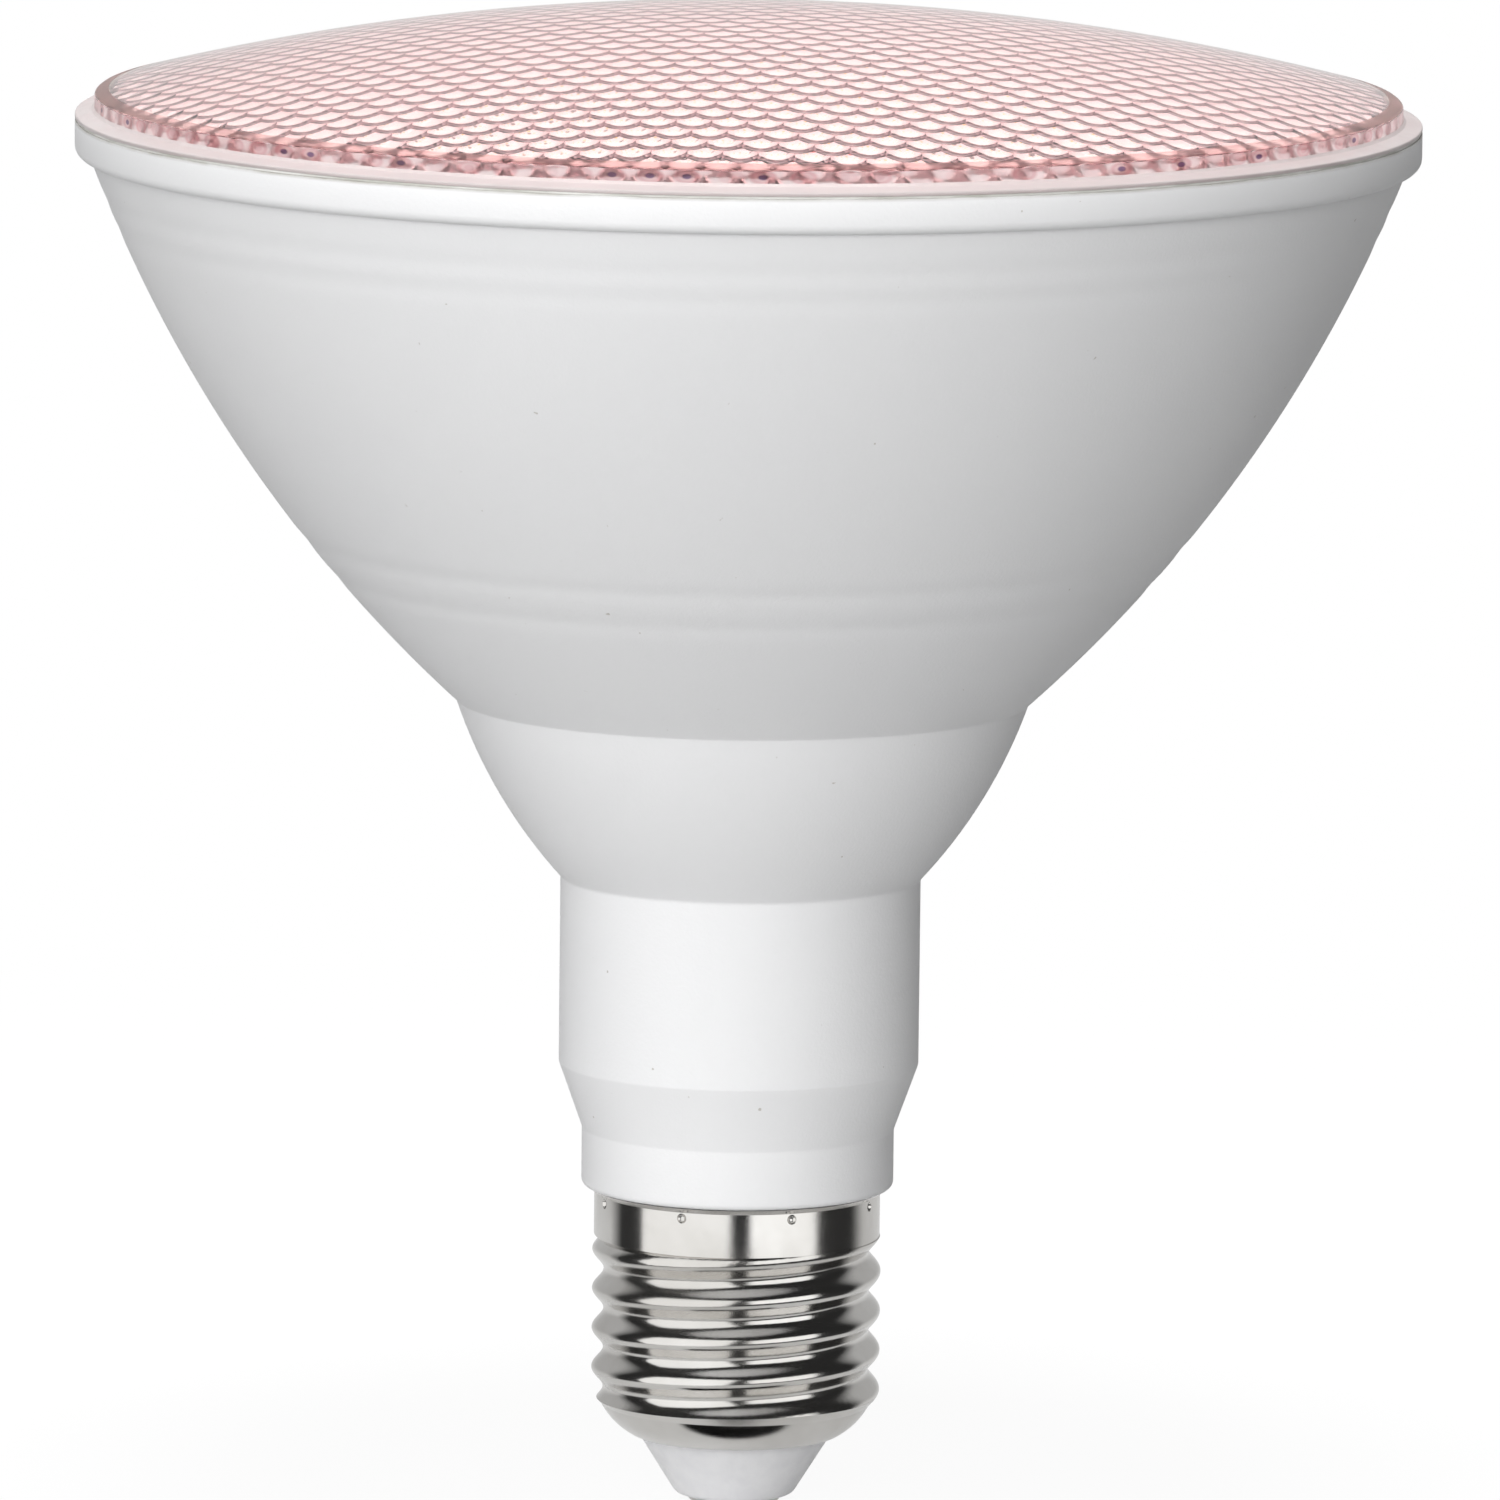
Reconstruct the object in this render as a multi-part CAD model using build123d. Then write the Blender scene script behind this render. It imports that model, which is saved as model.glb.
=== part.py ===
from build123d import *
import os
from math import atan2, ceil, cos, hypot, radians, sin, sqrt, tan

# PAR spotlight bulb, cap down, in millimetres.
# Z runs along the lamp's axis, with z = 0 at the tip of the centre contact.

# Centre contact and insulator of the cap
contact_radius = 4.2
contact_height = 0.7
contact_edge_radius = 0.45
contact_shank_radius = 1.5
contact_shank_clearance = 0.1
contact_rivet_radius = 2.6
contact_rivet_height = 0.7
insulator_tip_radius = 5.3
insulator_tip_round = 1.0
insulator_height = 5.7
insulator_flange_height = 1.5
insulator_clearance = 0.12

# Screw shell, an Edison screw of 27 mm with seven threads to the inch
sheet = 0.3
mouth_radius = 9.65
dish_radius = 12.25
dish_height = 2.7
dish_bulge = 0.27
thread_crest_radius = 13.1
thread_depth = 1.05
thread_pitch = 25.4 / 7
thread_length = 15.5
thread_start_angle = 263.0
thread_sections_per_turn = 6
band_radius = 12.97
band_height = 4.4
lip_radius = 13.45
lip_height = 0.45
dimple_count = 8
dimple_radius = 0.45
dimple_depth = 0.3
dimple_drop = 0.98
dimple_clearance = 0.1
shell_clearance = 0.06

# White housing, from the cap up to the lens
seat_gap = 0.1
lower_collar_overhang = 1.18
lower_collar_height = 5.35
lower_collar_round = 0.6
taper_height = 6.0
taper_step = 2.15
neck_length = 17.0
neck_round = 1.0
bowl_radius = 25.9
bowl_height = 16.2
bowl_bulge = 0.98
bell_height = 49.1
bell_bulge = 3.5
collar_radius = 60.5
collar_overhang = 1.3
collar_height = 3.2
collar_round = 0.9
wall = 1.8
spigot_length = 3.3
spigot_wall = 1.6
spigot_floor = 1.6
crease_round = 0.3

# Shallow sink rings that show on the bell outside its inner ribs
sink_depth = 0.03
sink_width = 2.2

# Lens
lens_thickness = 2.4
lens_wall_height = 1.45
lens_edge_round = 0.7
dome_rise = 7.55
flange_width = 1.75
flange_edge_height = 0.35
flange_rise = 0.4
seam_gap = 0.2
plug_step = 0.75
plug_wall = 1.4
plug_depth = 3.1
plug_clearance = 0.15
adhesive_height = 0.5

# Heat sink cup and the ribs that hold it
cup_sheet = 1.2
cup_gap = 1.9
cup_floor_height = 12.1
cup_rim_drop = 5.4
cup_clearance = 0.3
rim_clearance = 0.1
rib_height = 1.2
snap_height = 0.8
snap_overlap = 0.5
centring_rise = 2.1
floor_overlap = 2.0
cup_corner_radius = 2.0

# Board with the light sources
led_board_radius = 30.0
led_board_thickness = 1.6
led_size = 3.0
led_height = 0.7
led_well_radius = 1.2
led_well_depth = 0.12
led_ring_radii = (10.5, 18.0, 26.0)
led_ring_counts = (6, 12, 18)
led_ring_turns = (30.0, 0.0, 5.0)
wire_hole_radius = 3.6
screw_circle_radius = 22.0
screw_count = 3
screw_turn = 15.0
screw_radius = 1.5
screw_length = 5.0
screw_head_radius = 2.7
screw_head_height = 1.9
screw_head_round = 1.1
screw_recess = 0.9
screw_clearance = 0.1

# Driver board in the neck
board_thickness = 1.6
board_edge_clearance = 0.5
board_headroom = 5.0
board_slot_clearance = 0.15
board_foot_drop = 1.2
foot_clearance = 0.8
rail_reach = 2.0
rail_width = 1.4
rail_length = 12.0
rail_sink = 0.6
rail_foot_height = 1.5
lead_radius = 0.3
lead_standoff = 0.5

# Parts on the front of the driver board, with places across it and above its shoulder
fuse_radius = 1.5
fuse_length = 6.0
fuse_place = (0.0, -9.0)
varistor_radius = 3.0
varistor_thickness = 2.6
varistor_place = (3.0, -2.0)
film_width = 7.5
film_depth = 4.0
film_height = 7.0
film_place = (-5.0, 5.0)
choke_radius = 3.4
choke_height = 7.0
choke_flange = 1.1
choke_core_radius = 1.7
choke_place = (4.8, 5.0)
bulk_radius = 4.5
bulk_height = 12.5
bulk_place = (-5.5, 20.5)
core_width = 10.2
core_depth = 4.8
core_height = 8.6
core_yoke = 1.5
core_leg = 2.6
bobbin_base = 1.2
bobbin_wall = 0.5
bobbin_clearance = 0.1
winding_build = 1.4
transformer_place = (5.2, 22.0)
output_radius = 3.15
output_height = 9.0
output_place = (4.5, 32.5)
can_groove = 0.25
can_round = 0.4

# Flat parts on the back of the driver board
rectifier_size = (4.7, 3.9, 2.3)
rectifier_place = (-5.0, 3.0)
ic_size = (4.9, 3.9, 1.5)
ic_place = (-5.0, 17.0)
diode_size = (4.3, 2.6, 2.1)
diode_place = (6.5, 28.0)
chip_size = (2.0, 1.25, 0.6)
chip_columns = 2
chip_rows = 3
chip_spacing = (3.4, 2.8)
chip_place = (6.5, 18.0)
flat_lead_width = 0.5
flat_lead_reach = 1.0
flat_lead_height = 0.3

# Wires
wire_radius = 0.65
bare_wire_radius = 0.4
wire_bend = 1.4
wire_gap = 0.03
wire_spacing = 2.0
pad_reach = 7.0
arch_height = 2.2
wire_slot_clearance = 0.2
neutral_grip = 2.0
neutral_drop = 0.9

# Heights that follow from the stack of pieces
z_insulator = contact_height
z_mouth = z_insulator + insulator_height
z_dish = z_mouth + dish_height
z_thread = z_dish + thread_length
z_shell = z_thread + band_height
z_base = z_shell + seat_gap
z_spigot = z_base - spigot_length
z_lower_collar = z_base + lower_collar_height
z_neck = z_lower_collar + taper_height
z_bowl = z_neck + neck_length
z_bell = z_bowl + bowl_height
z_collar = z_bell + bell_height
z_seam = z_collar + collar_height
z_flange = z_seam + seam_gap
z_flange_corner = z_flange + flange_edge_height
z_lens_wall = z_flange_corner + flange_rise
z_dome = z_lens_wall + lens_wall_height
z_apex = z_dome + dome_rise
z_plug = z_flange - plug_depth
z_lens_seat = z_plug - adhesive_height
z_cup_rim = z_collar - cup_rim_drop
z_cup_floor = z_bell + cup_floor_height
z_rim_ledge = z_cup_rim - rib_height
z_snap = z_cup_rim + cup_sheet + rim_clearance
z_floor_ledge = z_cup_floor - rib_height
z_centring = z_cup_floor + centring_rise
z_led_board = z_cup_floor + cup_sheet
z_led_face = z_led_board + led_board_thickness
z_board_top = z_cup_floor - board_headroom
z_board_shoulder = z_neck + rail_foot_height + wall
z_board_foot = z_base - board_foot_drop

# Radii that follow from the rim, the cap and the walls
bell_radius = collar_radius - collar_overhang
lens_wall_radius = collar_radius - flange_width
plug_radius = lens_wall_radius - plug_step
lower_collar_radius = band_radius + lower_collar_overhang
neck_radius = lower_collar_radius + taper_step
neck_inside = neck_radius - wall
lower_collar_inside = lower_collar_radius - wall
band_inside = band_radius - sheet
spigot_radius = band_inside - shell_clearance
spigot_inside = spigot_radius - spigot_wall
thread_mean_radius = thread_crest_radius - thread_depth / 2
board_half_width = neck_inside - board_edge_clearance
foot_half_width = spigot_inside - foot_clearance
board_face = board_thickness / 2
wire_y = -(board_face + wire_radius + wire_gap)


class ProfileArc:
    """A bulging arc of the profile between two (radius, height) points."""

    def __init__(self, start, end, bulge):
        chord = hypot(end[0] - start[0], end[1] - start[1])
        normal = ((end[1] - start[1]) / chord, (start[0] - end[0]) / chord)
        if normal[0] < 0:
            normal = (-normal[0], -normal[1])
        middle = ((start[0] + end[0]) / 2, (start[1] + end[1]) / 2)
        self.radius = chord**2 / (8 * bulge) + bulge / 2
        self.r = middle[0] - normal[0] * (self.radius - bulge)
        self.z = middle[1] - normal[1] * (self.radius - bulge)

    def radius_at(self, height, inset=0.0):
        """Radius of the profile at a height, on the arc or on the one that lies inset inside it."""
        return self.r + sqrt((self.radius - inset) ** 2 - (height - self.z) ** 2)

    def moved_in(self, point, inset):
        """The point of the arc that lies inset inside the given one."""
        share = inset / hypot(point[0] - self.r, point[1] - self.z)
        return (point[0] + (self.r - point[0]) * share, point[1] + (self.z - point[1]) * share)

    def edge(self, start, end, inset=0.0):
        """The arc between two of its points."""
        height = (start[1] + end[1]) / 2
        return ThreePointArc(at(*start), at(self.radius_at(height, inset), height), at(*end))


def at(radius, height):
    """Point of the half section that is turned about the axis."""
    return (radius, 0, height)


def turned(*lines):
    """Solid turned about the axis from the lines of its closed half section."""
    return revolve(make_face([edge for line in lines for edge in line.edges()]), Axis.Z)


def turned_outline(*points):
    """Solid turned about the axis from the corners of its half section."""
    return turned(Polyline(*[at(*point) for point in points], close=True))


def rims(solid, radius, height):
    """Circular edges of a turned solid at a radius and a height."""
    circles = solid.edges().filter_by(GeomType.CIRCLE)
    return [e for e in circles if abs(e.radius - radius) < 0.001 and abs(e.arc_center.Z - height) < 0.001]


def post(radius, height):
    """Round piece that stands on its own z = 0."""
    return Cylinder(radius, height, align=(Align.CENTER, Align.CENTER, Align.MIN))


def block(width, depth, height):
    """Square piece that stands on its own z = 0."""
    return Box(width, depth, height, align=(Align.CENTER, Align.CENTER, Align.MIN))


bowl_arc = ProfileArc((bowl_radius, z_bell), (neck_radius, z_bowl), bowl_bulge)
bell_arc = ProfileArc((bell_radius, z_collar), (bowl_radius, z_bell), bell_bulge)
dish_arc = ProfileArc((dish_radius, z_dish), (mouth_radius, z_mouth), dish_bulge)
mouth_inside = dish_arc.radius_at(z_mouth, sheet)
cup_rim_radius = bell_arc.radius_at(z_cup_rim, wall) - cup_clearance


def dimple_balls(radius):
    """Balls that punch the ring of dimples into the band of the screw shell."""
    punch_radius = (dimple_radius**2 + dimple_depth**2) / (2 * dimple_depth)
    punch_distance = band_radius + punch_radius - dimple_depth
    step = 360 / dimple_count
    balls = []
    for number in range(dimple_count):
        angle = radians(step * (number + 0.5))
        place = (punch_distance * cos(angle), punch_distance * sin(angle), z_shell - dimple_drop)
        balls.append(Pos(*place) * Sphere(punch_radius + radius))
    return balls


def thread_core(inset):
    """Rounded single thread: a loft of circles off the axis, which go round it once for each pitch."""
    bottom = z_mouth - 2 * sheet
    rise = z_thread - bottom
    steps = ceil(rise / thread_pitch * thread_sections_per_turn)
    sections = []
    for number in range(steps + 1):
        height = rise * number / steps
        angle = radians(thread_start_angle + 360 * height / thread_pitch)
        centre = (thread_depth / 2 * cos(angle), thread_depth / 2 * sin(angle), bottom + height)
        sections.append(Pos(*centre) * Circle(thread_mean_radius - inset).face())
    return loft(sections)


def shell_body(inset):
    """Outside of the screw shell, or its inside when inset by the sheet."""
    dish_end = (dish_arc.radius_at(z_dish, inset), z_dish)
    mouth_end = (dish_arc.radius_at(z_mouth, inset), z_mouth)
    clear = thread_crest_radius + thread_depth
    z_clear = z_dish + clear - dish_end[0]
    root = thread_crest_radius - thread_depth - inset
    limit = turned(
        Line(at(0, z_mouth), at(*mouth_end)),
        dish_arc.edge(mouth_end, dish_end, inset),
        Polyline(at(*dish_end), at(clear, z_clear), at(clear, z_thread), at(0, z_thread), at(0, z_mouth)),
    )
    band = turned_outline(
        (0, z_thread - thread_depth),
        (root, z_thread - thread_depth),
        (band_radius - inset, z_thread),
        (band_radius - inset, z_shell - lip_height),
        (lip_radius - inset, z_shell),
        (0, z_shell),
    )
    return (thread_core(inset) & limit) + band


def make_screw_shell():
    shell = shell_body(0) - shell_body(sheet)
    inside_band = Pos(0, 0, z_shell) * Cylinder(band_radius, 2 * band_height)
    for boss in dimple_balls(sheet):
        shell += boss & inside_band
    return shell - dimple_balls(0)


def make_cap_insulator():
    """Cone in the mouth of the screw shell, with a flange inside the dish and a hole for the rivet."""
    neck = mouth_inside - insulator_clearance
    inset = sheet + insulator_clearance
    z_flange_top = z_mouth + insulator_flange_height
    foot = (dish_arc.radius_at(z_mouth, inset), z_mouth)
    flange = (dish_arc.radius_at(z_flange_top, inset), z_flange_top)
    hole = contact_shank_radius + contact_shank_clearance
    tip = (insulator_tip_radius, z_insulator)
    outline = [flange, (0, z_flange_top), (0, z_insulator), tip, (neck, z_mouth), foot]
    body = turned(
        Polyline(*[at(*point) for point in outline]),
        dish_arc.edge(foot, flange, inset),
    )
    body = fillet(rims(body, *tip), insulator_tip_round)
    return body - Cylinder(hole, 4 * z_flange_top)


def make_centre_contact():
    """Button with a rivet shank that is flared over the insulator."""
    z_rivet = z_mouth + insulator_flange_height
    button = fillet(rims(post(contact_radius, contact_height), contact_radius, 0), contact_edge_radius)
    shank = turned_outline(
        (0, 0),
        (contact_shank_radius, 0),
        (contact_shank_radius, z_rivet),
        (contact_rivet_radius, z_rivet),
        (contact_shank_radius, z_rivet + contact_rivet_height),
        (0, z_rivet + contact_rivet_height),
    )
    return button + shank


def cup_outside(height):
    """Radius of the outside of the heat sink cup at a height."""
    return bell_arc.radius_at(height, wall + cup_gap)


def bell_rib(z_bottom, height, inner_radius):
    """Ring on the inside of the bell, from within its wall to the inner radius."""
    z_top = z_bottom + height
    root = wall / 2
    low = (bell_arc.radius_at(z_bottom, root), z_bottom)
    high = (bell_arc.radius_at(z_top, root), z_top)
    return turned_outline(low, high, (inner_radius, z_top), (inner_radius, z_bottom))


def board_rails():
    """Two grooves in the neck that hold the edges of the driver board, each with a foot."""
    slot = board_thickness + 2 * board_slot_clearance
    outer = neck_inside + rail_sink
    inner = board_half_width - rail_reach
    height = rail_length + rail_foot_height
    rail = block(outer - inner, slot + 2 * rail_width, height)
    rail -= Pos(0, 0, rail_foot_height) * block(outer - inner, slot, height)
    rail = Pos((inner + outer) / 2, 0, z_board_shoulder - rail_foot_height) * rail
    return [rail, Rot(0, 0, 180) * rail]


def sink_ring(height):
    """Torus that presses a shallow ring into the outside of the bell."""
    minor = sink_width**2 / (8 * sink_depth)
    surface = bell_arc.radius_at(height)
    lift = (minor - sink_depth) / bell_arc.radius
    ring_radius = surface + (surface - bell_arc.r) * lift
    ring_height = height + (height - bell_arc.z) * lift
    return Pos(0, 0, ring_height) * Torus(ring_radius, minor)


def make_housing():
    """One moulding: collar, bell, bowl, neck, taper, lower collar and the spigot for the screw shell."""
    taper_shift = wall * tan(atan2(neck_radius - lower_collar_radius, taper_height) / 2)
    bore = plug_radius + plug_clearance
    bell_top = (bell_arc.radius_at(z_lens_seat, wall), z_lens_seat)
    bell_bottom = bell_arc.moved_in((bowl_radius, z_bell), wall)
    bowl_top = bowl_arc.moved_in((bowl_radius, z_bell), wall)
    bowl_bottom = bowl_arc.moved_in((neck_radius, z_bowl), wall)
    body = turned(
        Polyline(
            at(spigot_inside, z_spigot),
            at(spigot_radius, z_spigot),
            at(spigot_radius, z_base),
            at(lower_collar_radius, z_base),
            at(lower_collar_radius, z_lower_collar),
            at(neck_radius, z_neck),
            at(neck_radius, z_bowl),
        ),
        bowl_arc.edge((neck_radius, z_bowl), (bowl_radius, z_bell)),
        bell_arc.edge((bowl_radius, z_bell), (bell_radius, z_collar)),
        Polyline(
            at(bell_radius, z_collar),
            at(collar_radius, z_collar),
            at(collar_radius, z_seam),
            at(bore, z_seam),
            at(bore, z_lens_seat),
            at(*bell_top),
        ),
        bell_arc.edge(bell_top, bell_bottom, wall),
        Line(at(*bell_bottom), at(*bowl_top)),
        bowl_arc.edge(bowl_top, bowl_bottom, wall),
        Polyline(
            at(*bowl_bottom),
            at(neck_inside, z_bowl),
            at(neck_inside, z_neck + taper_shift),
            at(lower_collar_inside, z_lower_collar + taper_shift),
            at(lower_collar_inside, z_base + spigot_floor),
            at(spigot_inside, z_base + spigot_floor),
            at(spigot_inside, z_spigot),
        ),
    )
    body = fillet(rims(body, collar_radius, z_collar), collar_round)
    body = fillet(rims(body, neck_radius, z_neck), neck_round)
    body = fillet(rims(body, lower_collar_radius, z_lower_collar), neck_round)
    body = fillet(rims(body, lower_collar_radius, z_base), lower_collar_round)
    body = fillet(rims(body, neck_radius, z_bowl) + rims(body, bowl_radius, z_bell), crease_round)
    body += bell_rib(z_rim_ledge, rib_height, cup_outside(z_cup_rim) + cup_clearance)
    body += bell_rib(z_snap, snap_height, cup_rim_radius - snap_overlap)
    body += bell_rib(z_centring, rib_height, cup_outside(z_centring + rib_height) + cup_clearance)
    body += bell_rib(z_floor_ledge, rib_height, cup_outside(z_cup_floor) - floor_overlap)
    body += board_rails()
    for height in (z_snap + snap_height / 2, z_rim_ledge + rib_height / 2):
        body -= sink_ring(height)
    for height in (z_centring + rib_height / 2, z_floor_ledge + rib_height / 2):
        body -= sink_ring(height)
    body -= dimple_balls(sheet + dimple_clearance)
    return body - wire_slot()


def wire_slot():
    """Slot up from the foot of the spigot for the bare wire that touches the screw shell."""
    inner = neutral_x() + bare_wire_radius + wire_gap
    outer = -band_radius
    width = 2 * (bare_wire_radius + wire_slot_clearance)
    return Pos((inner + outer) / 2, wire_y, z_spigot) * Box(inner - outer, width, 2 * neutral_grip)


def neutral_x():
    """Place along X of the bare wire's upright end, against the inside of the band."""
    reach = band_inside - wire_gap - bare_wire_radius
    return -sqrt(reach**2 - wire_y**2)


def make_front_lens():
    """Clear dome with its wall, a flange on the collar and a plug inside it."""
    dome_radius = (lens_wall_radius**2 + dome_rise**2) / (2 * dome_rise)
    z_centre = z_apex - dome_radius
    inner_radius = dome_radius - lens_thickness
    plug_inside = plug_radius - plug_wall
    z_inner_edge = z_centre + sqrt(inner_radius**2 - plug_inside**2)
    body = turned(
        ThreePointArc(
            at(0, z_apex),
            dome_point(dome_radius, z_centre, lens_wall_radius / 2),
            at(lens_wall_radius, z_dome),
        ),
        Polyline(
            at(lens_wall_radius, z_dome),
            at(lens_wall_radius, z_lens_wall),
            at(collar_radius, z_flange_corner),
            at(collar_radius, z_flange),
            at(plug_radius, z_flange),
            at(plug_radius, z_plug),
            at(plug_inside, z_plug),
            at(plug_inside, z_inner_edge),
        ),
        ThreePointArc(
            at(plug_inside, z_inner_edge),
            dome_point(inner_radius, z_centre, plug_inside / 2),
            at(0, z_centre + inner_radius),
        ),
        Line(at(0, z_centre + inner_radius), at(0, z_apex)),
    )
    return fillet(rims(body, lens_wall_radius, z_dome), lens_edge_round)


def dome_point(radius, z_centre, reach):
    """Point of a ball's half section at a distance from the axis."""
    return at(reach, z_centre + sqrt(radius**2 - reach**2))


def make_lens_adhesive():
    """Bead between the ledge of the collar and the foot of the lens plug."""
    inner = bell_arc.radius_at(z_lens_seat, wall)
    return turned_outline(
        (inner, z_lens_seat),
        (plug_radius, z_lens_seat),
        (plug_radius, z_plug),
        (inner, z_plug),
    )


def on_circle(radius, count, turn):
    """Places spread evenly on a circle about the axis."""
    return PolarLocations(radius, count, start_angle=turn)


def screw_places():
    """Places of the screws on the board."""
    return on_circle(screw_circle_radius, screw_count, screw_turn)


def board_holes():
    """Wire hole and screw holes through the board and the floor of the cup."""
    height = 4 * (cup_sheet + led_board_thickness)
    screw_hole = Cylinder(screw_radius + screw_clearance, height)
    holes = [Cylinder(wire_hole_radius, height)] + [place * screw_hole for place in screw_places()]
    return [Pos(0, 0, z_led_board) * hole for hole in holes]


def make_heat_sink_cup():
    """Drawn cup: a rim on the upper rib, a wall that follows the bell and a floor for the board."""
    outside = wall + cup_gap
    inside = outside + cup_sheet
    z_rim_top = z_cup_rim + cup_sheet
    floor_edge = (cup_outside(z_cup_floor), z_cup_floor)
    rim_root = (cup_outside(z_cup_rim), z_cup_rim)
    rim_inside = (bell_arc.radius_at(z_rim_top, inside), z_rim_top)
    floor_inside = (bell_arc.radius_at(z_led_board, inside), z_led_board)
    cup = turned(
        Line(at(0, z_cup_floor), at(*floor_edge)),
        bell_arc.edge(floor_edge, rim_root, outside),
        Polyline(
            at(*rim_root),
            at(cup_rim_radius, z_cup_rim),
            at(cup_rim_radius, z_rim_top),
            at(*rim_inside),
        ),
        bell_arc.edge(rim_inside, floor_inside, inside),
        Polyline(at(*floor_inside), at(0, z_led_board), at(0, z_cup_floor)),
    )
    cup = fillet(rims(cup, *floor_edge), cup_corner_radius)
    cup = fillet(rims(cup, *floor_inside), cup_corner_radius - cup_sheet / 2)
    return cup - board_holes()


def make_led_board():
    """Round aluminium-core board with the wire hole and the screw holes."""
    return Pos(0, 0, z_led_board) * post(led_board_radius, led_board_thickness) - board_holes()


def make_led_packages():
    """Square packages in rings on the board, each with a shallow round well."""
    well = Pos(0, 0, led_height) * Cylinder(led_well_radius, 2 * led_well_depth)
    package = block(led_size, led_size, led_height) - well
    packages = []
    for radius, count, turn in zip(led_ring_radii, led_ring_counts, led_ring_turns):
        packages += [Pos(0, 0, z_led_face) * place * package for place in on_circle(radius, count, turn)]
    return Compound(children=packages)


def make_board_screws():
    """Pan-head screws through the board into the floor of the cup."""
    head = post(screw_head_radius, screw_head_height)
    head = fillet(rims(head, screw_head_radius, screw_head_height), screw_head_round)
    slot = Pos(0, 0, screw_head_height) * Box(2 * screw_radius, screw_recess, 2 * screw_recess)
    head -= [slot, Rot(0, 0, 90) * slot]
    screw = Pos(0, 0, z_led_face) * (head + Pos(0, 0, -screw_length) * post(screw_radius, screw_length))
    return Compound(children=[place * screw for place in screw_places()])


def make_driver_board():
    """Upright board: a wide part held in the rails of the neck and a foot that reaches into the spigot."""
    upper = Box(2 * board_half_width, board_thickness, z_board_top - z_board_shoulder)
    foot = Box(2 * foot_half_width, board_thickness, z_board_shoulder - z_board_foot)
    board = Pos(0, 0, (z_board_top + z_board_shoulder) / 2) * upper
    return board + Pos(0, 0, (z_board_shoulder + z_board_foot) / 2) * foot


def on_front(place):
    """Frame on the front of the driver board, with its own Z off the board."""
    return Plane((place[0], board_face, z_board_shoulder + place[1]), x_dir=(1, 0, 0), z_dir=(0, 1, 0))


def on_back(place):
    """Frame on the back of the driver board, with its own Z off the board."""
    return Plane((place[0], -board_face, z_board_shoulder + place[1]), x_dir=(1, 0, 0), z_dir=(0, -1, 0))


def leads(spacing, height):
    """Two round leads from the board up into a part."""
    return [Pos(side * spacing / 2, 0, 0) * post(lead_radius, height) for side in (-1, 1)]


def make_fuse_resistor():
    """Lying resistor with a bent lead at each end."""
    lift = lead_standoff + fuse_radius
    body = Pos(0, 0, lift) * Rot(0, 90, 0) * Cylinder(fuse_radius, fuse_length)
    body = fillet(body.edges().filter_by(GeomType.CIRCLE), fuse_radius / 2)
    span = fuse_length + 2 * fuse_radius
    bar = Pos(0, 0, lift) * Rot(0, 90, 0) * Cylinder(lead_radius, span)
    return on_front(fuse_place) * (body + bar + leads(span - 2 * lead_radius, lift))


def make_varistor():
    """Disc on edge, on two leads."""
    lift = lead_standoff + varistor_radius
    disc = Pos(0, 0, lift) * Rot(90, 0, 0) * Cylinder(varistor_radius, varistor_thickness)
    disc = fillet(disc.edges().filter_by(GeomType.CIRCLE), varistor_thickness / 3)
    return on_front(varistor_place) * (disc + leads(varistor_radius, lift))


def make_film_capacitor():
    """Boxed capacitor with rounded edges."""
    box = block(film_width, film_depth, film_height)
    return on_front(film_place) * fillet(box.edges().filter_by(Axis.Z), can_round)


def make_choke_core():
    """Ferrite drum that stands on the board."""
    drum = post(choke_radius, choke_flange) + post(choke_core_radius, choke_height)
    drum += Pos(0, 0, choke_height - choke_flange) * post(choke_radius, choke_flange)
    return on_front(choke_place) * drum


def make_choke_winding():
    """Copper wound between the flanges of the drum."""
    room = choke_height - 2 * choke_flange - 2 * bobbin_clearance
    winding = post(choke_radius - 2 * bobbin_clearance, room)
    winding -= post(choke_core_radius + bobbin_clearance, room)
    return on_front(choke_place) * Pos(0, 0, choke_flange + bobbin_clearance) * winding


def electrolytic(radius, height):
    """Can with rounded ends and the groove that is rolled near its foot."""
    can = post(radius, height)
    can = fillet(can.edges().filter_by(GeomType.CIRCLE), can_round)
    groove_radius = 2 * can_groove
    return can - Pos(0, 0, 4 * groove_radius) * Torus(radius + groove_radius - can_groove, groove_radius)


def make_bulk_capacitor():
    return on_front(bulk_place) * electrolytic(bulk_radius, bulk_height)


def make_output_capacitor():
    return on_front(output_place) * electrolytic(output_radius, output_height)


def make_transformer_core():
    """Closed ferrite frame with a middle leg, on the base of the bobbin."""
    window_width = (core_width - core_leg) / 2 - core_yoke
    window_height = core_height - 2 * core_yoke
    window = Pos(0, 0, core_yoke) * block(window_width, 2 * core_depth, window_height)
    shift = (core_leg + window_width) / 2
    core = block(core_width, core_depth, core_height)
    core -= [Pos(side * shift, 0, 0) * window for side in (-1, 1)]
    return on_front(transformer_place) * Pos(0, 0, bobbin_base + bobbin_clearance) * core


def spool_size(grow):
    """Width and depth of the tube round the middle leg, grown by a distance on every side."""
    return (core_leg + 2 * (bobbin_clearance + grow), core_depth + 2 * (bobbin_clearance + grow))


def spool_room():
    """Lift of the spool above the board and its height between the yokes."""
    lift = bobbin_base + core_yoke + 2 * bobbin_clearance
    return lift, core_height - 2 * core_yoke - 2 * bobbin_clearance


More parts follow.
